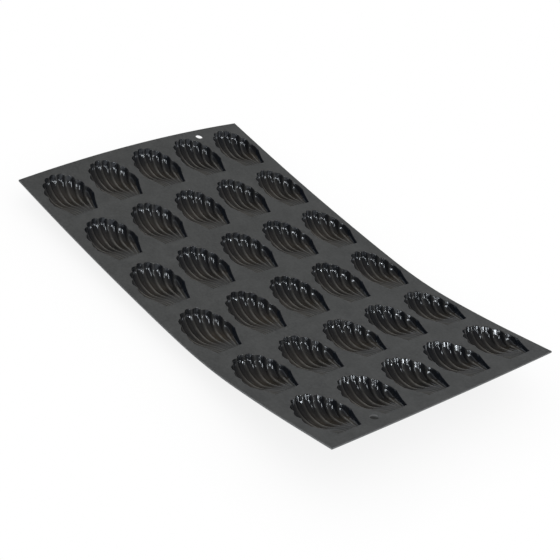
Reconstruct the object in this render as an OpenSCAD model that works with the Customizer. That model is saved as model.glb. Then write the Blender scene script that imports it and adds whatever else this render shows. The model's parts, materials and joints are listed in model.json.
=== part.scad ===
// Flexible madeleine mould sheet: one thin coated glass-fibre sheet with rows of
// fluted shell cavities pressed into it. The webs between the rows flex, so each
// row is a piece of its own, joined to the next along a hinge line.
// +Z is up, +X runs along the sheet from the fan ends to the tails of the shells,
// and the origin lies under the middle of the sheet on the surface it rests on.

/* [Shell cavities] */
// Length of a cavity from its tail to the tip of its fan
cavity_l = 42; // [38:0.5:60]
// Width of a cavity at the widest part of its fan
cavity_w = 30; // [26:0.5:44]
// Depth of a cavity below the top of the sheet
cavity_d = 11; // [8:0.5:14]
// Width of a cavity's blunt tail
tail_w = 16.4; // [12:0.2:20]
// Length of the rounded fan, from the widest part to the tip
fan_l = 22; // [18:0.5:26]
// Number of flutes across a cavity
flutes = 9; // [5:2:11]
// Height of the ridges between the flutes
ridge_h = 2; // [0.3:0.1:2.2]
// How far along the cavity its deepest place lies, as a share of each flute
deepest_at = 0.62; // [0.5:0.02:0.7]

/* [Sheet] */
// Thickness of the flat sheet
sheet_t = 1; // [0.6:0.1:1.6]
// Thickness of the cavity walls
wall_t = 1; // [0.6:0.1:1.4]
// Number of cavities in a row
columns = 5; // [2:1:6]
// Web between a row's fan tips and the tails of the row before it
row_web = 7; // [5:0.5:14]
// Web between two neighbours in a row
column_web = 4; // [3:0.5:12]
// Margin from the far edge to the fan tips
far_margin = 5; // [3:0.5:20]
// Margin from the tails to the near edge
near_margin = 8; // [4:0.5:20]
// Margin from the front edge to the first column
front_margin = 5.6; // [3:0.2:20]
// Margin from the last column to the back edge
back_margin = 3.4; // [3:0.2:20]

/* [Holes] */
// Diameter of the two punched holes
hole_d = 5; // [3:0.5:6]
// Distance of the far hole's centre from the far edge
far_hole_inset = 7; // [4.5:0.5:9]
// Distance of the near hole's centre from the near edge
near_hole_inset = 9.5; // [4.5:0.5:12]
// Shift of both holes from between two columns towards the sheet's middle line
hole_shift = 1.9; // [0:0.1:3]

/* [Curl at rest] */
// Turn between the first and second rows
curl_1_2 = 1.6; // [0:0.2:10]
// Turn between the second and third rows
curl_2_3 = 2.2; // [0:0.2:10]
// Turn between the fourth and fifth rows
curl_4_5 = 9.4; // [0:0.2:12]
// Turn between the fifth and sixth rows
curl_5_6 = 3.2; // [0:0.2:12]

/* [Hinge lines] */
// Gap between two rows along a hinge line
hinge_gap = 0.1; // [0.04:0.02:0.3]
// Largest turn at a hinge line that the bevelled edges leave room for
hinge_turn = 60; // [20:5:80]

/* [Hidden] */
hole_faces = 48;
// Straight lip at the rim of a cavity, before its curved wall starts
rim_lip = 0.3;
// Flat ground off the outside of the lowest flute, which the sheet rests on
foot_cut = 0.35;
// Depth at the tail end, and of the outermost flutes, as shares of the whole
tail_depth = 0.2;
side_depth = 0.45;
// How much later the fan's wall starts at the sides than in the middle
side_wall = 0.6;
// Turn of the fan from its tip to its last flute
fan_turn = 105;
// How far the flutes stay drawn in before they flare out
flare_x = 0.5;
flare_y = 0.38;
// Steepness of the side walls, and where their foot lies across the flutes
side_power = 40;
side_root = 0.33;
side_at = 0.965;
// Roundness of the ramp up to the tail, and of the fan's wall at its foot and its top
ramp_round = 2;
foot_round = 2.4;
top_round = 0.6;
// Height of the ridges at the tail as a share of the whole, and its growth along t
ridge_start = 0.35;
ridge_growth = 0.65;
// Stations along a flute: tail, ramp, deepest place, wall and rim
stations = [0, 0.32 * deepest_at, 0.66 * deepest_at, deepest_at, 0.55 + 0.45 * deepest_at, 0.88 + 0.12 * deepest_at, 1];
// Height of the cutting solids above and below the faces they pass through
cut_over = 0.6;

pitch_x = cavity_l + row_web;
pitch_y = cavity_w + column_web;
sheet_w = front_margin + (columns - 1) * pitch_y + cavity_w + back_margin;
// Lengths of a row's sheet before and after its tails, from hinge line to hinge line
before_tail = cavity_l + row_web / 2;
after_tail = row_web / 2;
first_before = cavity_l + far_margin;
last_after = near_margin;
rest_z = cavity_d + wall_t - foot_cut;
first_column_y = -sheet_w / 2 + front_margin + cavity_w / 2;
// Hinge lines at rest, worked outwards from the middle one. The third and fourth
// rows lie flat and the others curl up from them
tilt_2 = curl_2_3;
tilt_1 = tilt_2 + curl_1_2;
tilt_5 = curl_4_5;
tilt_6 = tilt_5 + curl_5_6;
axis_z = rest_z - sheet_t / 2;
line_34 = [0, axis_z];
line_23 = line_34 - [pitch_x, 0];
line_12 = line_23 + pitch_x * [-cos(tilt_2), sin(tilt_2)];
line_45 = line_34 + [pitch_x, 0];
line_56 = line_45 + pitch_x * [cos(tilt_5), sin(tilt_5)];
// Ends of the sheet, used to put the origin under its middle
far_end = line_12[0] - (first_before + after_tail) * cos(tilt_1) - sheet_t / 2 * sin(tilt_1);
near_end = line_56[0] + (before_tail + last_after) * cos(tilt_6) + sheet_t / 2 * sin(tilt_6);
centre_x = (far_end + near_end) / 2;

// Shape of a cavity. Along a flute t runs from 0 at the tail to 1 at the rim of the
// fan, and across the flutes q runs from -1 to 1. Local x points from tail to fan.
function rim_start(q) = [0, q * tail_w / 2];
function rim_end(q) = [cavity_l - fan_l + fan_l * cos(fan_turn * q), cavity_w / 2 * sin(fan_turn * q)];
function flare(q) = [flare_x * rim_end(q)[0], rim_start(q)[1] + flare_y * (rim_end(q)[1] - rim_start(q)[1])];
function plan(t, q) = (1 - t) ^ 2 * rim_start(q) + 2 * t * (1 - t) * flare(q) + t ^ 2 * rim_end(q);
function ramp(share) = tail_depth + (1 - tail_depth) * sin(90 * share) ^ ramp_round;
function wall_from(q) = deepest_at + (1 - deepest_at) * side_wall * q ^ 2;
function wall(t, q) = (1 - max(0, (t - wall_from(q)) / (1 - wall_from(q))) ^ foot_round) ^ top_round;
function along(t, q) = ramp(min(1, abs(plan(t, q)[0]) / (deepest_at * cavity_l))) * wall(t, q);
function hollow(t, q) = 1 - (1 - side_depth) * min(1, t / deepest_at) * q ^ 2;
function across(t, q) = hollow(t, q) * (1 - abs(q) ^ side_power) ^ side_root;
function depth(t, q) = rim_lip + (cavity_d - rim_lip) * along(t, q) * across(t, q);
function bowl(t, q) = [plan(t, q)[0], plan(t, q)[1], -depth(t, q)];

// Direction straight out of the bowl's floor, up into the cavity
step = 0.01;
inside_q = 0.9;
function slope_t(t, q) = bowl(t + step, q) - bowl(max(0, t - step), q);
function slope_q(t, q) = bowl(t, q + step) - bowl(t, q - step);
function unit(v) = v / norm(v);
function off_floor(t, q) = unit(cross(slope_t(t, q), slope_q(t, q)));
// Level directions into the cavity from its straight sides and from the fan's rim
function run(t, q) = plan(t + step, sign(q)) - plan(max(0, t - step), sign(q));
function off_side(t, q) = sign(q) * unit([run(t, q)[1], -run(t, q)[0], 0]);
function turn(q) = plan(1, q + step) - plan(1, q - step);
function off_fan(q) = unit([-turn(q)[1], turn(q)[0], 0]);

// Stations across the flutes: ridges and middles of flutes, with the foot of each
// side wall and its rim
n_q = 2 * flutes + 2;
stations_q = concat([-1, -side_at], [for (k = [1 : 2 * flutes - 1]) k / flutes - 1], [side_at, 1]);
function on_rim(j) = j == 0 || j == n_q;
function on_foot(j) = j == 1 || j == n_q - 1;
function out_of(t, j) =
    let (q = stations_q[j], inner_q = max(-inside_q, min(q, inside_q)))
    t == 1 ? off_fan(max(step - 1, min(q, 1 - step)))
    : on_rim(j) ? off_side(t, q)
    : on_foot(j) ? off_side(t, q) + off_floor(t, inner_q)
    : off_floor(t, inner_q);

// Ridges stand between the flutes, lower at the tail, and notch the fan's rim
function between_flutes(j) = j > 1 && j < n_q - 1 && j % 2 == 1;
function ridge(t, j) = between_flutes(j) ? ridge_h * (ridge_start + ridge_growth * t) : 0;
function skin(t, j) = bowl(t, stations_q[j]) + ridge(t, j) * out_of(t, j);
function tail_wall(t) = [t == 0 ? wall_t : 0, 0, 0];
function outer_skin(t, j) = skin(t, j) - wall_t * out_of(t, j) - tail_wall(t);

n_t = len(stations) - 1;
row_of = n_q + 1;
// Numbers of the grid's rim points, once around
rim = [
    for (j = [0 : n_q]) j,
    for (i = [1 : n_t]) i * row_of + n_q,
    for (j = [n_q - 1 : -1 : 0]) n_t * row_of + j,
    for (i = [n_t - 1 : -1 : 1]) i * row_of
];
grid_faces = [
    for (i = [0 : n_t - 1], j = [0 : n_q - 1], half = [0, 1])
        let (a = i * row_of + j, b = a + 1, c = a + row_of, d = c + 1)
        half == 0 ? [a, c, d] : [a, d, b]
];

// Closed solid between a grid of skin points and a flat lid at height top_z, whose
// faces meet in its middle
module capped_skin(points, top_z) {
    count = len(points);
    n_rim = len(rim);
    lid = [for (k = rim) [points[k][0], points[k][1], top_z]];
    middle = [cavity_l - fan_l, 0, top_z];
    sides = [
        for (k = [0 : n_rim - 1], part = [0, 1, 2])
            let (next = (k + 1) % n_rim, a = rim[k], b = rim[next], c = count + k, d = count + next)
            part == 0 ? [a, b, d] : part == 1 ? [a, d, c] : [c, d, count + n_rim]
    ];
    polyhedron(points = concat(points, lid, [middle]), faces = concat(grid_faces, sides), convexity = 6);
}

module cavity_space() {
    capped_skin([for (t = stations, j = [0 : n_q]) skin(t, j)], cut_over);
}

module cavity_outside() {
    capped_skin([for (t = stations, j = [0 : n_q]) outer_skin(t, j)], -rim_lip / 2);
}

// Copies of a cavity along a row, tails on x = 0 and fans towards -X
module each_column() {
    for (k = [0 : columns - 1])
        translate([0, first_column_y + k * pitch_y, 0])
            rotate([0, 0, 180])
                children();
}

// Side view of a row's flat sheet: each end on a hinge line is cut back to an edge
// at half thickness, so that neighbours can turn without meeting
module sheet_side(x0, x1, hinge_before, hinge_after) {
    back = sheet_t / 2 * tan(hinge_turn / 2);
    a = hinge_before ? hinge_gap / 2 : 0;
    b = hinge_after ? hinge_gap / 2 : 0;
    polygon([
        [x0 + a + (hinge_before ? back : 0), 0],
        [x0 + a, -sheet_t / 2],
        [x0 + a + (hinge_before ? back : 0), -sheet_t],
        [x1 - b - (hinge_after ? back : 0), -sheet_t],
        [x1 - b, -sheet_t / 2],
        [x1 - b - (hinge_after ? back : 0), 0]
    ]);
}

// One row with its tails on x = 0 and the top of its sheet on z = 0
module mould_row(before, after, hinge_before, hinge_after) {
    difference() {
        union() {
            translate([0, sheet_w / 2, 0])
                rotate([90, 0, 0])
                    linear_extrude(sheet_w)
                        sheet_side(-before, after, hinge_before, hinge_after);
            each_column() cavity_outside();
        }
        each_column() cavity_space();
        translate([-before, -sheet_w / 2, -rest_z - cut_over])
            cube([before + after, sheet_w, cut_over]);
    }
}

module punched_hole(x, y) {
    translate([x, y, -sheet_t - cut_over])
        cylinder(d = hole_d, h = sheet_t + 2 * cut_over, $fn = hole_faces);
}

// Puts a row so that its side at local distance x from the tails lies on a hinge line
module on_line(line, x, turn) {
    translate([line[0] - centre_x, 0, line[1]])
        rotate([0, -turn, 0])
            translate([-x, 0, sheet_t / 2])
                children();
}

module mould_row_1() {
    far_hole_y = first_column_y + (columns - 1.5) * pitch_y - hole_shift;
    color([0.21, 0.21, 0.22])
        on_line(line_12, after_tail, -tilt_1)
            difference() {
                mould_row(first_before, after_tail, false, true);
                punched_hole(-first_before + far_hole_inset, far_hole_y);
            }
}

module mould_row_2() {
    color([0.21, 0.21, 0.22])
        on_line(line_23, after_tail, -tilt_2)
            mould_row(before_tail, after_tail, true, true);
}

module mould_row_3() {
    color([0.21, 0.21, 0.22])
        on_line(line_34, after_tail, 0)
            mould_row(before_tail, after_tail, true, true);
}

module mould_row_4() {
    color([0.21, 0.21, 0.22])
        on_line(line_34, -before_tail, 0)
            mould_row(before_tail, after_tail, true, true);
}

module mould_row_5() {
    color([0.21, 0.21, 0.22])
        on_line(line_45, -before_tail, tilt_5)
            mould_row(before_tail, after_tail, true, true);
}

module mould_row_6() {
    near_hole_y = first_column_y + 0.5 * pitch_y + hole_shift;
    color([0.21, 0.21, 0.22])
        on_line(line_56, -before_tail, tilt_6)
            difference() {
                mould_row(before_tail, last_after, true, false);
                punched_hole(last_after - near_hole_inset, near_hole_y);
            }
}

mould_row_1();
mould_row_2();
mould_row_3();
mould_row_4();
mould_row_5();
mould_row_6();
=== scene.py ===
import json
import math

import bmesh
import bpy
import numpy as np
from mathutils import Matrix, Vector

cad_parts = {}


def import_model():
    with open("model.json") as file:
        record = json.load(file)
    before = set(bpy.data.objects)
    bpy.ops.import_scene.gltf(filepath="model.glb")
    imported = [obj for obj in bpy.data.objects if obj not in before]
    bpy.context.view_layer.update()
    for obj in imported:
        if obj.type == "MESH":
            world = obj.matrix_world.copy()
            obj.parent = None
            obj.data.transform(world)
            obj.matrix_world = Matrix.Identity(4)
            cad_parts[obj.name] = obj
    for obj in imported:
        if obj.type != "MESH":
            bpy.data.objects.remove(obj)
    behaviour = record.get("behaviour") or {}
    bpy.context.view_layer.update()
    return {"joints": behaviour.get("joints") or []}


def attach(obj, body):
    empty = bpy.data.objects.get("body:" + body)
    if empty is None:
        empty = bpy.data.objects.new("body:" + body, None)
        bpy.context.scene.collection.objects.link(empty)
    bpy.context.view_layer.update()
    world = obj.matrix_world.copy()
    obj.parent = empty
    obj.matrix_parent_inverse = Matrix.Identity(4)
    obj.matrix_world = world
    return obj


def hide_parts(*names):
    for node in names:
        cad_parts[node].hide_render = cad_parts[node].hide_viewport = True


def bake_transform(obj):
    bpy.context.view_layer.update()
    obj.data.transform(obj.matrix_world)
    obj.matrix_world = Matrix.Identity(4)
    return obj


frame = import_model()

# Flexible mould sheet with six rows of five fluted shell cavities. Each row is a
# closed skin that replaces its CAD node, and the web between two rows is a strip of
# its own. Sizes are in millimetres, as in the part, and angles in degrees. On the
# stage, sizes are in metres.

MM = 0.001

# Cavity: its mouth and depth, its tail and fan, and its flutes
CAVITY_L = 42.0
CAVITY_W = 30.0
CAVITY_D = 11.0
TAIL_W = 16.4
FAN_L = 22.0
FLUTES = 9

# Half the angle that the fan's rim spans, and where a flute bends outwards: its share
# of the way to the fan along the cavity and across it
FAN_TURN = 105.0
FLARE_X = 0.5
FLARE_Y = 0.38

# Depth: that of the lip, the shares of the full depth at the tail and at the sides,
# and the share of the length at which the cavity is deepest
RIM_LIP = 0.3
TAIL_DEPTH = 0.25
SIDE_DEPTH = 0.45
DEEPEST_AT = 0.62

# Walls: how much later the fan's wall starts in the outermost flutes, how it and the
# side walls bend up out of the floor and lean out at the rim, the place across the
# flutes where a side wall has its foot and that from which its thickness is measured
# level, and the tail's lean
SIDE_WALL = 0.35
FAN_BEND = 2.4
FAN_LEAN = 0.6
SIDE_BEND = 40
SIDE_LEAN = 0.33
FOOT_AT = 0.92
SIDE_AT = 0.965
TAIL_LEAN = 0.15

# Ridges between the flutes: their height, its share at the tail, and their roundness
RIDGE_H = 2.0
RIDGE_START = 0.35
RIDGE_ROUND = 0.2

# Sheet: its thickness, its rows and columns, the web between them and its margins
SHEET_T = 1.0
WALL_T = 1.0
ROWS = 6
COLUMNS = 5
ROW_WEB = 7.0
COLUMN_WEB = 4.0
FAR_MARGIN = 5.0
NEAR_MARGIN = 8.0
FRONT_MARGIN = 5.6
BACK_MARGIN = 3.4

# Underside: what is cut off the deepest flutes for their feet, the share of a flute
# over which the tail's wall is set back, and the least depth of a bowl below the web
FOOT_CUT = 0.35
TAIL_FOOT = 0.08
BELOW_WEB = 0.2

# Round holes through the web, their distance from the ends and from the middle
# between two columns
HOLE_D = 5.0
FAR_HOLE_INSET = 7.0
NEAR_HOLE_INSET = 9.5
HOLE_SHIFT = 1.9

# Web left on a row's own skin past its tails and its fan tips; the rest of the web
# between two rows is a strip of its own
OWN_WEB = 1.5

# Tilt of each row at rest, as in the part, eased in the middle pair so that the
# sheet bends in one sweep
ROW_TILTS = [-3.8, -2.2, -0.6, 0.6, 9.4, 12.6]

# Rise of the sheet's edges against its middle line: at the far end, in the middle and
# at the near end, and how it grows towards the ends; the slight twist; and the lift
# that keeps the lowest cavities on the floor
BOW_FAR = -4.2
BOW_MIDDLE = -3.1
BOW_NEAR = 1.1
BOW_POWER = 1.5
TWIST = -1.5
LIFT = 0.9

# Stations of the sheet's course, and the length that it runs on past both ends
COURSE_STATIONS = 641
COURSE_SPARE = 5.0

# Stations of a cavity's skin: steps along a flute and how far they draw together
# towards the fan; places across each flute, closer together at the ridges; the place
# before which the last of these lies; and those of the side walls
T_STEPS = 26
T_EASE = 0.5
FLUTE_STATIONS = [0, 0.08, 0.24, 0.5, 0.76, 0.92]
LAST_FLUTE_Q = 0.93
SIDE_STATIONS = [0.94, SIDE_AT, 0.99, 1.0]

# Small step for slopes, the widest place across the floor where one is taken, and the
# place along a flute past which a point is on the rim
STEP = 0.01
FLOOR_Q = 0.9
RIM_T = 0.999

# Rings between a cavity's rim and its cell's edge: those of the lip, with distance out
# and height from the web; those of the web, as shares of the way to the cell's edge;
# and the share of the rim's tones that each ring keeps
LIP_RINGS = [(0.08, -0.14), (0.24, -0.04), (0.5, 0.0)]
WEB_RINGS = [0.3, 0.65, 1.0]
RING_TONES = [0.8, 0.3, 0, 0, 0, 0]

# Share of the stations across, from either side, at which the fan's rim lies towards a
# corner of the cell round its cavity
CORNER_SHARE = 0.27

# Stations of a strip of web, along the sheet and across it, and how far inside its
# edges two points on its middle line are taken
STRIP_S = 13
STRIP_Y = 71
STRIP_INSET = 0.1

# Points nearer than this are one, in metres; places nearer than this are the same and
# a shorter length than this counts as none, in millimetres; and an edge sharper than
# this isn't smoothed
JOIN_WITHIN = 1e-7
SAME_PLACE = 1e-6
NO_LENGTH = 1e-9
SHARP_ANGLE = 50

# Cutter of a hole: its sides, its length in sheet thicknesses, and what tells the
# hole's wall: the slack in its radius and the greatest lean of its faces
HOLE_SIDES = 64
HOLE_REACH = 6
HOLE_SLACK = 1.01
HOLE_LEAN = 0.5

# Gloss of the skin along a flute: matt up to one place and glossy from another, with
# both places skewed across the flutes
MATT_TO = 0.08
GLOSS_FROM = 0.62
MATT_SKEW = 0.2

# Gloss of the side walls and of the front ridges: how fast they begin at the foot of a
# wall and past the tail, how narrow a ridge's gloss is, and where it ends across. The side walls also keep
# the dark bowl colour to the tail, as painted shade
SIDE_FADE = 0.03
TAIL_FADE = 0.05
FRONT_POWER = 4
FRONT_TO = 0.2
FRONT_FADE = 0.5

# Share of all the tones that the underside has
UNDERSIDE_GLOSS = 0.35

# Painted shade that darkens the fan's wall, and painted highlights along the ridge crests, which fade
# towards it
FAN_PAINTED_SHADE = 0.8
FAN_SHADE_FROM = 0.65
FAN_SHADE_FADE = 0.3
HIGHLIGHT_POWER = 16
HIGHLIGHT_TO = 0.55
HIGHLIGHT_FADE = 0.3
HIGHLIGHT_LOSS = 0.8

# Colours of the web, the bowls and the raw cut edge; the bowls' dark bluish colour is painted shade and
# their pale crest colour a painted highlight
WEB_DARK = (0.0328, 0.0332, 0.0322)
WEB_LIGHT = (0.043, 0.0435, 0.0422)
WEB_SPECK = (0.105, 0.106, 0.103)
BOWL_BLACK = (0.012, 0.0113, 0.0105)
BOWL_BROWN = (0.036, 0.0305, 0.024)
BOWL_PAINTED_SHADE = (0.005, 0.0065, 0.009)
PAINTED_CREST_HIGHLIGHT = (0.14, 0.135, 0.125)
EDGE_DARK = (0.07, 0.07, 0.07)
EDGE_LIGHT = (0.16, 0.16, 0.155)

# Share of speck colour in the web where there are none and where they are thickest
SPECKS_NONE = (0.0, 0.0, 0.0)
SPECKS_MOST = (0.22, 0.22, 0.22)

# Noise: scale per metre and detail, and the stops between which it turns the colour
WEB_PATCHES = (90, 6)
WEB_STOPS = (0.35, 0.65)
SPECKS = (650, 2)
SPECK_STOPS = (0.3, 0.7)
BOWL_PATCHES = (45, 3)
BOWL_STOPS = (0.35, 0.7)
EDGE_FIBRES = (700, 2)
EDGE_STOPS = (0.0, 1.0)
GRAIN = (1400, 3)

# Roughness, and the grain's height in metres with its strength on the web and in a bowl
WEB_ROUGH = 0.6
BOWL_ROUGH = 0.13
EDGE_ROUGH = 0.8
GRAIN_HEIGHT = 0.00006
WEB_GRAIN = 0.5
BOWL_GRAIN = 0.04

# Camera, in the sheet's millimetres
CAMERA_AT = Vector((459.17, -493.27, 488.52)) * MM
LOOK_AT = Vector((-5.78, 15.29, 0.0)) * MM
CAMERA_ROLL = 13.39
CAMERA_LENS = 86.97
CAMERA_SENSOR = 36
CAMERA_CLIP = 20

# Floor, just under the sheet's feet
FLOOR_SIZE = 8
FLOOR_Z = -0.0002
FLOOR_COLOUR = (0.8, 0.8, 0.8)
FLOOR_ROUGH = 0.9

# Dark shade on the floor that is seen through the near hole: its radius, at how many
# times that radius it has faded out, and its grey
SHADE_R = 0.003
SHADE_FADE = 1.3
SHADE_GREY = 0.03

# It is there only while the sheet covers it: reach upwards, and the open share of the
# sky at which it starts to fade and is gone
SHADE_REACH = 0.06
SHADE_COVERED = 0.5
SHADE_OPEN = 0.85

# Grey of the soft shade that the covered floor keeps elsewhere
SOFT_GREY = 0.84

# Room round the sheet: pale at the horizon, and dark from this height up
HORIZON = (0.80, 0.86, 0.95)
OVERHEAD = (0.17, 0.17, 0.17)
DARK_FROM = 0.35

# Large soft lamp over the sheet: place, side and power
LAMP_AT = (0.1, 0.2, 2.0)
LAMP_SIDE = 2.0
LAMP_POWER = 37
LAMP_WHITE = (1.0, 1.0, 1.0)

# Bright panels round the sheet: direction, width, height and glow
PANELS = [
    ((0.687, -0.641, 0.342), 0.14, 0.14, 60),
    ((0.94, 0.0, 0.342), 0.12, 0.12, 50),
    ((0.115, -0.945, 0.30), 0.14, 0.75, 16),
    ((0.50, -0.82, 0.30), 0.10, 0.50, 16),
    ((0.897, 0.38, 0.225), 0.25, 0.25, 5),
    ((-0.55, 0.59, 0.59), 0.70, 0.70, 0.4),
]
PANEL_FAR = 1.6
PANEL_TINT = (0.88, 0.94, 1.0)

# Worked out from the sizes above, and the line about which the middle rows turn
PITCH_X = CAVITY_L + ROW_WEB
PITCH_Y = CAVITY_W + COLUMN_WEB
SHEET_W = FRONT_MARGIN + (COLUMNS - 1) * PITCH_Y + CAVITY_W + BACK_MARGIN
FIRST_COLUMN_Y = -SHEET_W / 2 + FRONT_MARGIN + CAVITY_W / 2
COLUMN_Y = [FIRST_COLUMN_Y + k * PITCH_Y for k in range(COLUMNS)]
JOINTS = {joint["name"]: joint for joint in frame["joints"]}
MIDDLE_LINE = Vector(JOINTS["bend_3_4"]["pos_m"]) / MM


def part_way(value, start, length):
    """Share of a length that value has come from its start, held between 0 and 1."""
    return np.clip((value - start) / length, 0, 1)


# Course of the sheet's middle surface, with s measured along it from the middle line

def tail_s(row):
    """Place along the sheet of the tails of a row, counted from 0 at the far end."""
    return (row - 2) * PITCH_X - ROW_WEB / 2


FAR_S = tail_s(0) - CAVITY_L - FAR_MARGIN
NEAR_S = tail_s(ROWS - 1) + NEAR_MARGIN


def travelled(rate, step):
    """Way covered up to each station at a rate given there."""
    return np.concatenate([[0], np.cumsum(rate[1:] + rate[:-1]) * step / 2])


def make_course():
    """Stations along the sheet with their x, z and slope, from the rows' tilts."""
    s = np.linspace(FAR_S - COURSE_SPARE, NEAR_S + COURSE_SPARE, COURSE_STATIONS)
    centres = [(FAR_S + tail_s(0) + ROW_WEB / 2) / 2]
    centres += [tail_s(row) - CAVITY_L / 2 for row in range(1, ROWS - 1)]
    centres += [(tail_s(ROWS - 2) + ROW_WEB / 2 + NEAR_S) / 2]
    slope = np.radians(np.interp(s, centres, ROW_TILTS))
    x = travelled(np.cos(slope), s[1] - s[0])
    z = travelled(np.sin(slope), s[1] - s[0])
    x -= np.interp(0, s, x)
    z -= np.interp(0, s, z)
    return s, x, z, slope


COURSE = make_course()


def bow(s, y):
    """How far the sheet stands above its mean line across its width."""
    to_far = part_way(s, 0, FAR_S)
    to_near = part_way(s, 0, NEAR_S)
    depth = BOW_MIDDLE + (BOW_FAR - BOW_MIDDLE) * to_far ** BOW_POWER
    depth += (BOW_NEAR - BOW_MIDDLE) * to_near ** BOW_POWER
    twist = TWIST * 2 * y / SHEET_W * (to_near - to_far)
    # the mean of the squared share of the width is a third
    return LIFT + depth * ((2 * y / SHEET_W) ** 2 - 1 / 3) + twist


def place(s, y, h):
    """Points of the bent sheet in metres, h millimetres above its middle surface."""
    x = np.interp(s, COURSE[0], COURSE[1])
    z = np.interp(s, COURSE[0], COURSE[2])
    slope = np.interp(s, COURSE[0], COURSE[3])
    px = MIDDLE_LINE.x + x - h * np.sin(slope)
    pz = MIDDLE_LINE.z + z + h * np.cos(slope) + bow(s, y)
    return np.stack([px, y + 0 * px, pz], -1) * MM


def sheet_point(s, y, h):
    """One point of the bent sheet in metres."""
    return Vector(place(np.array(s), np.array(y), np.array(h)))


# Shape of a cavity: t runs along a flute from 0 at the tail to 1 at the fan's rim,
# and q across the flutes from -1 to 1. Local x points from the tail to the fan.

def rim_start(q):
    """Plan place of the tail end of a flute."""
    return np.stack([0 * q, q * TAIL_W / 2], -1)


def rim_end(q):
    """Plan place of a flute's end on the fan's rim."""
    turn = np.radians(FAN_TURN) * q
    return np.stack([CAVITY_L - FAN_L + FAN_L * np.cos(turn), CAVITY_W / 2 * np.sin(turn)], -1)


def plan(t, q):
    """Plan place along a flute, which flares out from the tail to the fan."""
    a = rim_start(q)
    b = rim_end(q)
    flare = np.stack([FLARE_X * b[..., 0], a[..., 1] + FLARE_Y * (b[..., 1] - a[..., 1])], -1)
    t = t[..., None]
    return (1 - t) ** 2 * a + 2 * t * (1 - t) * flare + t ** 2 * b


def along(t, q):
    """Share of the full depth along a flute: a ramp from the tail, then the fan's wall."""
    x = part_way(np.abs(plan(t, q)[..., 0]), 0, DEEPEST_AT * CAVITY_L)
    ramp = TAIL_DEPTH + (1 - TAIL_DEPTH) * np.sin(np.pi / 2 * x) ** 2
    start = DEEPEST_AT + (1 - DEEPEST_AT) * SIDE_WALL * q ** 2
    wall = (1 - part_way(t, start, 1 - start) ** FAN_BEND) ** FAN_LEAN
    return ramp * wall


def across(t, q):
    """Share of the depth across the flutes: a hollow floor between two steep sides."""
    q = np.clip(np.abs(q), 0, 1)
    hollow = 1 - (1 - SIDE_DEPTH) * part_way(t, 0, DEEPEST_AT) * q ** 2
    return hollow * (1 - q ** SIDE_BEND) ** SIDE_LEAN


def bowl(t, q):
    """Points of a cavity's smooth surface, before its ridges."""
    depth = RIM_LIP + (CAVITY_D - RIM_LIP) * along(t, q) * across(t, q)
    return np.concatenate([plan(t, q), -depth[..., None]], -1)


def level(direction):
    """Level unit vectors square to plan directions, to their left."""
    n = np.stack([-direction[..., 1], direction[..., 0], 0 * direction[..., 0]], -1)
    return n / np.linalg.norm(n, axis=-1, keepdims=True)


def out_of(t, q):
    """Direction out of the bowl: square to its floor, level at its rim, and both in
    the foot of a side wall."""
    inner_q = np.clip(q, -FLOOR_Q, FLOOR_Q)
    slope_t = bowl(t + STEP, inner_q) - bowl(np.maximum(t - STEP, 0), inner_q)
    slope_q = bowl(t, inner_q + STEP) - bowl(t, inner_q - STEP)
    floor_n = np.cross(slope_t, slope_q)
    floor_n /= np.linalg.norm(floor_n, axis=-1, keepdims=True)
    side = np.sign(q)
    run = plan(t + STEP, side) - plan(np.maximum(t - STEP, 0), side)
    side_n = -side[..., None] * level(run)
    rim_q = np.clip(q, STEP - 1, 1 - STEP)
    rim_n = level(plan(np.ones_like(t), rim_q + STEP) - plan(np.ones_like(t), rim_q - STEP))
    side_share = part_way(np.abs(q), FOOT_AT, SIDE_AT - FOOT_AT)[..., None]
    floor_share = part_way(1 - np.abs(q), 0, 1 - SIDE_AT)[..., None]
    n = floor_n * floor_share + side_n * side_share
    return np.where(t[..., None] > RIM_T, rim_n, n)


def ridges(t, q):
    """Height of the sharp ridges between the flutes, fading at the tail and the sides."""
    wave = np.sqrt(np.sin(np.pi * FLUTES * (q + 1) / 2) ** 2 + RIDGE_ROUND ** 2)
    crest = (1 + RIDGE_ROUND - wave) / (1 + RIDGE_ROUND)
    side = np.clip((1 - np.abs(q)) * FLUTES, 0, 1)
    return RIDGE_H * (RIDGE_START + (1 - RIDGE_START) * t) * crest * side


def tones(t, q):
    """Gloss, painted shade and painted crest highlights of the skin at the stations t and q."""
    side = part_way(np.abs(q), FOOT_AT, SIDE_FADE)
    past_tail = part_way(t, 0, TAIL_FADE)
    ridge = np.abs(np.cos(np.pi * FLUTES * (q + 1) / 2))
    fade = part_way(t + MATT_SKEW * q, MATT_TO, GLOSS_FROM - MATT_TO)
    front = ridge ** FRONT_POWER * past_tail * part_way(FRONT_TO - q, 0, FRONT_FADE)
    # the side walls take the dark bowl colour right to the tail, partly as painted shade
    gloss = np.maximum(np.maximum(fade ** 2 * (3 - 2 * fade), side), front)
    # painted shade: the side walls and the fan's wall are darkened where they stand in shade
    painted_shade = np.maximum(side, FAN_PAINTED_SHADE * part_way(t, FAN_SHADE_FROM, FAN_SHADE_FADE))
    # painted highlight: pale lines along the ridge crests, fading towards the fan's rim
    crest = ridge ** HIGHLIGHT_POWER * (np.abs(q) < FOOT_AT)
    crest = crest * past_tail * (1 - HIGHLIGHT_LOSS * part_way(t, HIGHLIGHT_TO, HIGHLIGHT_FADE))
    return np.stack([gloss, painted_shade, crest], -1)


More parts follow.
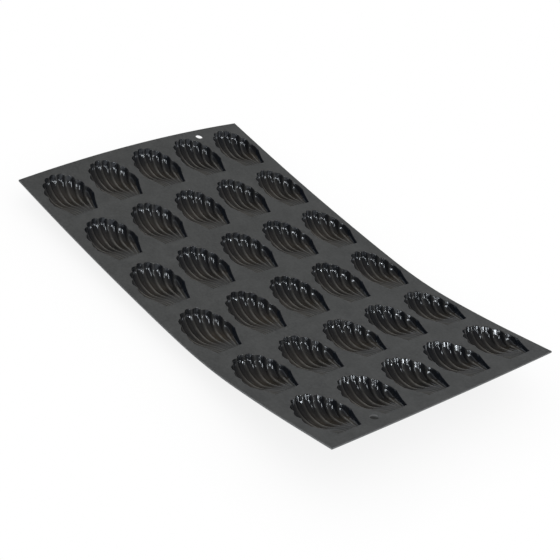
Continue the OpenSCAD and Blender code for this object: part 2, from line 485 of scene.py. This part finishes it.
def skin_stations():
    """Stations t and q of a cavity's skin, as two grids."""
    u = np.linspace(0, 1, T_STEPS + 1)
    t = (1 - T_EASE) * u + T_EASE * np.sin(np.pi / 2 * u)
    q = [2 * (k + f) / FLUTES - 1 for k in range(FLUTES) for f in FLUTE_STATIONS]
    q = [value for value in q if abs(value) < LAST_FLUTE_Q]
    q = sorted(q + SIDE_STATIONS + [-value for value in SIDE_STATIONS])
    return np.meshgrid(t, np.array(q), indexing="ij")


T_GRID, Q_GRID = skin_stations()
# Points of the skin's grid along the flutes and across them
POINTS_T, POINTS_Q = T_GRID.shape


def inner_skin():
    """Points and tones of the inside of a cavity."""
    p = bowl(T_GRID, Q_GRID) + ridges(T_GRID, Q_GRID)[..., None] * out_of(T_GRID, Q_GRID)
    # the tail's step leans in, so that it meets the web in a soft corner
    p[0, :, 0] += TAIL_LEAN * (-p[0, :, 2] - RIM_LIP)
    return p, tones(T_GRID, Q_GRID)


def outer_skin():
    """Points and tones of the underside of a cavity, a wall's thickness further out."""
    n = out_of(T_GRID, Q_GRID)
    p = bowl(T_GRID, Q_GRID) + (ridges(T_GRID, Q_GRID) - WALL_T)[..., None] * n
    p[..., 0] -= WALL_T * np.clip(1 - T_GRID / TAIL_FOOT, 0, 1) ** 2
    p[..., 2] = np.clip(p[..., 2], FOOT_CUT - CAVITY_D - WALL_T, -SHEET_T - BELOW_WEB)
    return p, tones(T_GRID, Q_GRID) * UNDERSIDE_GLOSS


INNER = inner_skin()
OUTER = outer_skin()


# Meshes

def edge_loop(rows, columns):
    """Numbers of the edge points of a grid, once round from its first point."""
    number = np.arange(rows * columns).reshape(rows, columns)
    return np.concatenate([number[0], number[1:, -1], number[-1, -2::-1], number[-2:0:-1, 0]])


LOOP = edge_loop(POINTS_T, POINTS_Q)
CORNER_J = round((POINTS_Q - 1) * CORNER_SHARE)


def cell_edge(x0, x1, y0, y1):
    """Points of the rectangle round a cavity that belong to the points of its rim."""
    last_t = POINTS_T - 1
    last_q = POINTS_Q - 1
    rim = plan(T_GRID, Q_GRID).reshape(-1, 2)[LOOP]
    corner = plan(np.array(1.0), np.array(Q_GRID[-1, last_q - CORNER_J]))
    toward_x = x0 + (x1 - x0) * np.clip(rim[:, 0] / corner[0], 0, 1)
    y_side = np.where(rim[:, 1] < 0, y0, y1)
    toward_y = y_side * np.clip(np.abs(rim[:, 1]) / corner[1], 0, 1)
    tail_y = y_side * np.abs(rim[:, 1]) / (TAIL_W / 2)
    i_t, j_q = np.divmod(LOOP, POINTS_Q)
    on_tail = i_t == 0
    on_fan = (i_t == last_t) & (j_q >= CORNER_J) & (j_q <= last_q - CORNER_J)
    x = np.where(on_tail, x0, np.where(on_fan, x1, toward_x))
    y = np.where(on_fan, toward_y, np.where(j_q < last_q / 2, y0, y1))
    return np.stack([x, np.where(on_tail, tail_y, y)], -1)


def outward(loop_xy):
    """Plan direction out of a closed loop that runs from -y to +y at the tail."""
    d = np.roll(loop_xy, -2, 0) - np.roll(loop_xy, 2, 0)
    n = np.stack([-d[:, 1], d[:, 0]], -1)
    return n / np.maximum(np.linalg.norm(n, axis=-1, keepdims=True), NO_LENGTH)


def cell(skin, edge_xy, web_z):
    """Points, tones and faces of one side of a cavity with the web round it, and the
    numbers of the points at the cell's edge."""
    points = skin[0].reshape(-1, 3)
    skin_tones = skin[1].reshape(-1, 3)
    rim_xy = points[LOOP, :2]
    out = outward(rim_xy)
    rings = [(rim_xy + out * away, web_z + rise) for away, rise in LIP_RINGS]
    lip_xy = rings[-1][0]
    rings += [(lip_xy + (edge_xy - lip_xy) * way, web_z) for way in WEB_RINGS]
    ring_points = [np.column_stack([xy, np.full(len(xy), z)]) for xy, z in rings]
    ring_tones = [skin_tones[LOOP] * kept for kept in RING_TONES]

    corners = [i * POINTS_Q + j for i in range(POINTS_T - 1) for j in range(POINTS_Q - 1)]
    faces = [(a, a + 1, a + POINTS_Q + 1, a + POINTS_Q) for a in corners]
    inner = LOOP
    for k in range(len(rings)):
        outer = len(points) + k * len(LOOP) + np.arange(len(LOOP))
        faces += list(zip(inner, outer, np.roll(outer, -1), np.roll(inner, -1)))
        inner = outer
    all_points = np.concatenate([points] + ring_points)
    all_tones = np.concatenate([skin_tones] + ring_tones)
    return all_points, all_tones, np.array(faces), inner


def build_mesh(name, points, faces, point_tones, is_wall):
    """Mesh object from points in metres, with points at the same place joined. The
    faces that are walls get the second material."""
    key = np.round(points / JOIN_WITHIN).astype(np.int64)
    _, first, back = np.unique(key, axis=0, return_index=True, return_inverse=True)
    mesh = bpy.data.meshes.new(name)
    mesh.from_pydata(points[first].tolist(), [], back.ravel()[faces].tolist())
    # the tones are gloss, painted shade and a painted highlight on the ridge crests
    for k, label in enumerate(("gloss", "painted_shade", "crest")):
        attribute = mesh.attributes.new(label, "FLOAT", "POINT")
        attribute.data.foreach_set("value", point_tones[first, k].astype(np.float32))
    mesh.validate()
    shell = bmesh.new()
    shell.from_mesh(mesh)
    bmesh.ops.recalc_face_normals(shell, faces=shell.faces)
    shell.to_mesh(mesh)
    shell.free()
    mesh.polygons.foreach_set("material_index", is_wall)
    mesh.polygons.foreach_set("use_smooth", [True] * len(mesh.polygons))
    mesh.set_sharp_from_angle(angle=math.radians(SHARP_ANGLE))
    obj = bpy.data.objects.new(name, mesh)
    bpy.context.scene.collection.objects.link(obj)
    return obj


def to_sheet(points, row, column_y):
    """Local cavity points carried onto the bent sheet."""
    s = tail_s(row) - points[:, 0]
    return place(s, column_y + points[:, 1], SHEET_T / 2 + points[:, 2])


def on_line(values, at):
    """Which values lie at a place, within a hair."""
    return np.abs(values - at) < SAME_PLACE


def row_skin(row):
    """Closed skin of one row of cavities with the web round them."""
    x0 = -NEAR_MARGIN if row == ROWS - 1 else -OWN_WEB
    x1 = CAVITY_L + (FAR_MARGIN if row == 0 else OWN_WEB)
    points, point_tones, faces, walls = [], [], [], []
    count = 0
    for k, column_y in enumerate(COLUMN_Y):
        y0 = -PITCH_Y / 2 if k else -CAVITY_W / 2 - FRONT_MARGIN
        y1 = PITCH_Y / 2 if k < COLUMNS - 1 else CAVITY_W / 2 + BACK_MARGIN
        edge_xy = cell_edge(x0, x1, y0, y1)
        edges = []
        for skin, web_z, turn in ((INNER, 0.0, 1), (OUTER, -SHEET_T, -1)):
            cell_points, cell_tones, cell_faces, edge = cell(skin, edge_xy, web_z)
            points.append(to_sheet(cell_points, row, column_y))
            point_tones.append(cell_tones)
            faces.append(cell_faces[:, ::turn] + count)
            edges.append(edge + count)
            count += len(cell_points)
        middle = (edge_xy + np.roll(edge_xy, -1, 0)) / 2
        bare = on_line(middle[:, 0], x0) | on_line(middle[:, 0], x1)
        if k == 0:
            bare |= on_line(middle[:, 1], y0)
        if k == COLUMNS - 1:
            bare |= on_line(middle[:, 1], y1)
        top, under = edges
        wall = np.column_stack([top, np.roll(top, -1), np.roll(under, -1), under])
        walls.append(wall[bare])
    skin_faces = np.concatenate(faces)
    wall_faces = np.concatenate(walls)
    all_faces = np.concatenate([skin_faces, wall_faces])
    is_wall = np.arange(len(all_faces)) >= len(skin_faces)
    name = f"row_{row + 1}_skin"
    return build_mesh(name, np.concatenate(points), all_faces, np.concatenate(point_tones), is_wall)


def web_strip(row):
    """Closed strip of web between a row and the next."""
    s = np.linspace(tail_s(row) + OWN_WEB, tail_s(row) + ROW_WEB - OWN_WEB, STRIP_S)
    y = np.linspace(-SHEET_W / 2, SHEET_W / 2, STRIP_Y)
    s_grid, y_grid = np.meshgrid(s, y, indexing="ij")
    top = place(s_grid.ravel(), y_grid.ravel(), SHEET_T / 2)
    under = place(s_grid.ravel(), y_grid.ravel(), -SHEET_T / 2)
    faces = []
    for a in [i * STRIP_Y + j for i in range(STRIP_S - 1) for j in range(STRIP_Y - 1)]:
        quad = (a, a + STRIP_Y, a + STRIP_Y + 1, a + 1)
        faces.append(quad)
        faces.append(tuple(len(top) + number for number in reversed(quad)))
    loop = edge_loop(STRIP_S, STRIP_Y)
    after = np.roll(loop, -1)
    walls = np.column_stack([loop, after, len(top) + after, len(top) + loop])
    all_faces = np.concatenate([np.array(faces), walls])
    is_wall = np.arange(len(all_faces)) >= len(faces)
    points = np.concatenate([top, under])
    return build_mesh(f"web_{row + 1}_{row + 2}", points, all_faces, np.zeros((len(points), 3)), is_wall)


def punch_hole(obj, s, y):
    """Cuts a round hole straight through the sheet, with a raw edge for its wall."""
    radius = HOLE_D / 2 * MM
    at = sheet_point(s, y, 0.0)
    up = sheet_point(s, y, 1.0) - at
    axis = up.normalized()
    bpy.ops.mesh.primitive_cylinder_add(vertices=HOLE_SIDES, radius=radius, depth=HOLE_REACH * SHEET_T * MM)
    cutter = bpy.context.object
    cutter.matrix_world = Matrix.Translation(at) @ up.to_track_quat("Z", "Y").to_matrix().to_4x4()
    modifier = obj.modifiers.new("hole", "BOOLEAN")
    modifier.operation = "DIFFERENCE"
    modifier.solver = "MANIFOLD"
    modifier.object = cutter
    bpy.context.view_layer.update()
    cut = bpy.data.meshes.new_from_object(obj.evaluated_get(bpy.context.evaluated_depsgraph_get()))
    obj.modifiers.clear()
    obj.data = cut
    bpy.data.objects.remove(cutter)
    for polygon in cut.polygons:
        arm = polygon.center - at
        away = (arm - axis * arm.dot(axis)).length
        if away < radius * HOLE_SLACK and abs(polygon.normal.dot(axis)) < HOLE_LEAN:
            polygon.material_index = 1
    return obj


# Materials

# Numbers of a mix node's sockets for a, b and the result, for each kind of value
MIX_SOCKETS = {"FLOAT": (2, 3, 0), "RGBA": (6, 7, 2)}


def noise(tree, scale, detail):
    """Noise in the object's own space."""
    at = tree.nodes.new("ShaderNodeTexCoord")
    node = tree.nodes.new("ShaderNodeTexNoise")
    node.inputs["Scale"].default_value = scale
    node.inputs["Detail"].default_value = detail
    tree.links.new(at.outputs["Object"], node.inputs["Vector"])
    return node.outputs["Fac"]


def ramp(tree, source, places, colours, interpolation="LINEAR"):
    """Colour that turns from one to another between two places of its source."""
    node = tree.nodes.new("ShaderNodeValToRGB")
    node.color_ramp.interpolation = interpolation
    for element, at, colour in zip(node.color_ramp.elements, places, colours):
        element.position = at
        element.color = (*colour, 1)
    tree.links.new(source, node.inputs["Fac"])
    return node.outputs["Color"]


def set_or_link(tree, socket, value):
    """Gives a socket a constant, or links it to another socket."""
    if isinstance(value, bpy.types.NodeSocket):
        tree.links.new(value, socket)
    else:
        socket.default_value = value


def mix(tree, kind, factor, a, b):
    """Number or colour that is a where factor is 0 and b where it is 1."""
    node = tree.nodes.new("ShaderNodeMix")
    node.data_type = kind
    first, second, result = MIX_SOCKETS[kind]
    tree.links.new(factor, node.inputs[0])
    set_or_link(tree, node.inputs[first], a)
    set_or_link(tree, node.inputs[second], b)
    return node.outputs[result]


def tone(tree, label):
    """One of the mesh's tones."""
    node = tree.nodes.new("ShaderNodeAttribute")
    node.attribute_name = label
    return node.outputs["Fac"]


def coated_sheet():
    """Dark silicone: matt and finely mottled on the web, glossy in the cavities."""
    material = bpy.data.materials.new("coated_sheet")
    material.use_nodes = True
    tree = material.node_tree
    shader = tree.nodes["Principled BSDF"]
    gloss = tone(tree, "gloss")
    web = ramp(tree, noise(tree, *WEB_PATCHES), WEB_STOPS, (WEB_DARK, WEB_LIGHT))
    specks = ramp(tree, noise(tree, *SPECKS), SPECK_STOPS, (SPECKS_NONE, SPECKS_MOST))
    web = mix(tree, "RGBA", specks, web, (*WEB_SPECK, 1))
    bowls = ramp(tree, noise(tree, *BOWL_PATCHES), BOWL_STOPS, (BOWL_BLACK, BOWL_BROWN))
    # painted shade on the side walls and the fan's wall
    bowls = mix(tree, "RGBA", tone(tree, "painted_shade"), bowls, (*BOWL_PAINTED_SHADE, 1))
    # painted highlight along the ridge crests
    bowls = mix(tree, "RGBA", tone(tree, "crest"), bowls, (*PAINTED_CREST_HIGHLIGHT, 1))
    tree.links.new(mix(tree, "RGBA", gloss, web, bowls), shader.inputs["Base Color"])
    tree.links.new(mix(tree, "FLOAT", gloss, WEB_ROUGH, BOWL_ROUGH), shader.inputs["Roughness"])
    grain = tree.nodes.new("ShaderNodeBump")
    grain.inputs["Distance"].default_value = GRAIN_HEIGHT
    tree.links.new(mix(tree, "FLOAT", gloss, WEB_GRAIN, BOWL_GRAIN), grain.inputs["Strength"])
    tree.links.new(noise(tree, *GRAIN), grain.inputs["Height"])
    tree.links.new(grain.outputs["Normal"], shader.inputs["Normal"])
    return material


def cut_edge():
    """Raw cut edge of the sheet: paler, with the fibre layer showing."""
    material = bpy.data.materials.new("cut_edge")
    material.use_nodes = True
    tree = material.node_tree
    shader = tree.nodes["Principled BSDF"]
    shader.inputs["Roughness"].default_value = EDGE_ROUGH
    fibres = ramp(tree, noise(tree, *EDGE_FIBRES), EDGE_STOPS, (EDGE_DARK, EDGE_LIGHT))
    tree.links.new(fibres, shader.inputs["Base Color"])
    return material


SILICONE = coated_sheet()
EDGE = cut_edge()


# Pieces

def dress(obj):
    """Gives a piece its two materials and keeps which face has which."""
    indices = [polygon.material_index for polygon in obj.data.polygons]
    obj.data.materials.clear()
    obj.data.materials.append(SILICONE)
    obj.data.materials.append(EDGE)
    obj.data.polygons.foreach_set("material_index", indices)
    return obj


# Holes along the sheet and across it, where the middle between two columns is half a
# pitch from either
FAR_HOLE = (FAR_S + FAR_HOLE_INSET, COLUMN_Y[-1] - PITCH_Y / 2 - HOLE_SHIFT)
NEAR_HOLE = (NEAR_S - NEAR_HOLE_INSET, COLUMN_Y[0] + PITCH_Y / 2 + HOLE_SHIFT)


def rows():
    """Skins of the six rows, with the holes through the first and the last."""
    skins = [row_skin(row) for row in range(ROWS)]
    punch_hole(skins[0], *FAR_HOLE)
    punch_hole(skins[-1], *NEAR_HOLE)
    for row, obj in enumerate(skins):
        dress(obj)
        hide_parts(f"mould_row_{row + 1}")
        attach(obj, f"mould_row_{row + 1}")


def webs():
    """Strips of web between the rows."""
    inside = OWN_WEB + STRIP_INSET
    for row in range(ROWS - 1):
        strip = dress(web_strip(row))
        start = tuple(sheet_point(tail_s(row) + inside, 0.0, 0.0))
        end = tuple(sheet_point(tail_s(row) + ROW_WEB - inside, 0.0, 0.0))
        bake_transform(strip)


# Stage, lights and camera

def map_range(tree, source, start, end, low=0.0):
    """Number that goes from low to 1 while its source goes from start to end."""
    node = tree.nodes.new("ShaderNodeMapRange")
    node.inputs["From Min"].default_value = start
    node.inputs["From Max"].default_value = end
    node.inputs["To Min"].default_value = low
    tree.links.new(source, node.inputs["Value"])
    return node.outputs["Result"]


def combine(tree, operation, a, b):
    """Greater or lesser of two numbers, as the operation says."""
    node = tree.nodes.new("ShaderNodeMath")
    node.operation = operation
    tree.links.new(a, node.inputs[0])
    tree.links.new(b, node.inputs[1])
    return node.outputs["Value"]


def two_faced(tree, lit, seen):
    """Surface that the camera sees one way and all other light another."""
    path = tree.nodes.new("ShaderNodeLightPath")
    mixed = tree.nodes.new("ShaderNodeMixShader")
    tree.links.new(path.outputs["Is Camera Ray"], mixed.inputs["Fac"])
    tree.links.new(lit, mixed.inputs[1])
    tree.links.new(seen, mixed.inputs[2])
    return mixed.outputs["Shader"]


def seen_on_floor(point):
    """Point of the floor that the camera sees through a point of the sheet."""
    return CAMERA_AT + (point - CAMERA_AT) * CAMERA_AT.z / (CAMERA_AT.z - point.z)


def floor_white(tree):
    """White of the bare floor, with the shade that the sheet casts."""
    at = tree.nodes.new("ShaderNodeTexCoord")
    apart = tree.nodes.new("ShaderNodeVectorMath")
    apart.operation = "DISTANCE"
    apart.inputs[1].default_value = seen_on_floor(sheet_point(*NEAR_HOLE, 0.0))
    tree.links.new(at.outputs["Object"], apart.inputs[0])
    cover = tree.nodes.new("ShaderNodeAmbientOcclusion")
    cover.inputs["Distance"].default_value = SHADE_REACH
    outside = map_range(tree, apart.outputs["Value"], SHADE_R, SHADE_FADE * SHADE_R)
    uncovered = map_range(tree, cover.outputs["AO"], SHADE_COVERED, SHADE_OPEN)
    lit = combine(tree, "MAXIMUM", outside, uncovered)
    dark = map_range(tree, lit, 0.0, 1.0, SHADE_GREY)
    soft = map_range(tree, cover.outputs["AO"], 0.0, 1.0, SOFT_GREY)
    white = tree.nodes.new("ShaderNodeEmission")
    tree.links.new(combine(tree, "MINIMUM", dark, soft), white.inputs["Strength"])
    return white.outputs["Emission"]


def floor():
    """Plain white floor, seen as bare white except in the shade under the sheet."""
    bpy.ops.mesh.primitive_plane_add(size=FLOOR_SIZE, location=(0, 0, FLOOR_Z))
    obj = bpy.context.object
    obj.name = "floor"
    material = bpy.data.materials.new("floor")
    material.use_nodes = True
    tree = material.node_tree
    shader = tree.nodes["Principled BSDF"]
    shader.inputs["Base Color"].default_value = (*FLOOR_COLOUR, 1)
    shader.inputs["Roughness"].default_value = FLOOR_ROUGH
    surface = two_faced(tree, shader.outputs["BSDF"], floor_white(tree))
    tree.links.new(surface, tree.nodes["Material Output"].inputs["Surface"])
    obj.data.materials.append(material)


def world():
    """White to the camera; to everything else a room with a pale horizon and a dark top."""
    scene = bpy.context.scene
    scene.world = bpy.data.worlds.new("room")
    scene.world.use_nodes = True
    tree = scene.world.node_tree
    towards = tree.nodes.new("ShaderNodeTexCoord")
    height = tree.nodes.new("ShaderNodeSeparateXYZ")
    tree.links.new(towards.outputs["Generated"], height.inputs[0])
    room = ramp(tree, height.outputs["Z"], (0.0, DARK_FROM), (HORIZON, OVERHEAD), "EASE")
    back = tree.nodes["Background"]
    tree.links.new(room, back.inputs["Color"])
    white = tree.nodes.new("ShaderNodeBackground")
    white.inputs["Color"].default_value = (1, 1, 1, 1)
    surface = two_faced(tree, back.outputs["Background"], white.outputs["Background"])
    tree.links.new(surface, tree.nodes["World Output"].inputs["Surface"])


def area_light(name, at, width, height, power, colour):
    """Rectangular lamp that faces the sheet."""
    data = bpy.data.lights.new(name, "AREA")
    data.energy = power
    data.color = colour
    data.shape = "RECTANGLE"
    data.size = width
    data.size_y = height
    obj = bpy.data.objects.new(name, data)
    obj.location = at
    obj.rotation_euler = (-Vector(at)).to_track_quat("-Z", "Y").to_euler()
    bpy.context.scene.collection.objects.link(obj)
    return obj


def lights():
    """Soft lamp that shows in no reflection, and bright panels that do."""
    lamp = area_light("overhead", LAMP_AT, LAMP_SIDE, LAMP_SIDE, LAMP_POWER, LAMP_WHITE)
    lamp.visible_glossy = False
    for number, (towards, width, height, glow) in enumerate(PANELS):
        at = Vector(towards).normalized() * PANEL_FAR
        power = glow * math.pi * width * height
        area_light(f"panel_{number + 1}", at, width, height, power, PANEL_TINT)


def camera():
    """Camera at the photograph's viewing angle, with its roll."""
    data = bpy.data.cameras.new("camera")
    data.lens = CAMERA_LENS
    data.sensor_width = CAMERA_SENSOR
    data.clip_end = CAMERA_CLIP
    obj = bpy.data.objects.new("camera", data)
    bpy.context.scene.collection.objects.link(obj)
    obj.location = CAMERA_AT
    look = (LOOK_AT - CAMERA_AT).to_track_quat("-Z", "Y")
    roll = Matrix.Rotation(math.radians(CAMERA_ROLL), 4, "Z")
    obj.rotation_euler = (look.to_matrix().to_4x4() @ roll).to_euler()
    bpy.context.scene.camera = obj


rows()
webs()
floor()
world()
lights()
camera()
bpy.context.scene.view_settings.view_transform = "Standard"
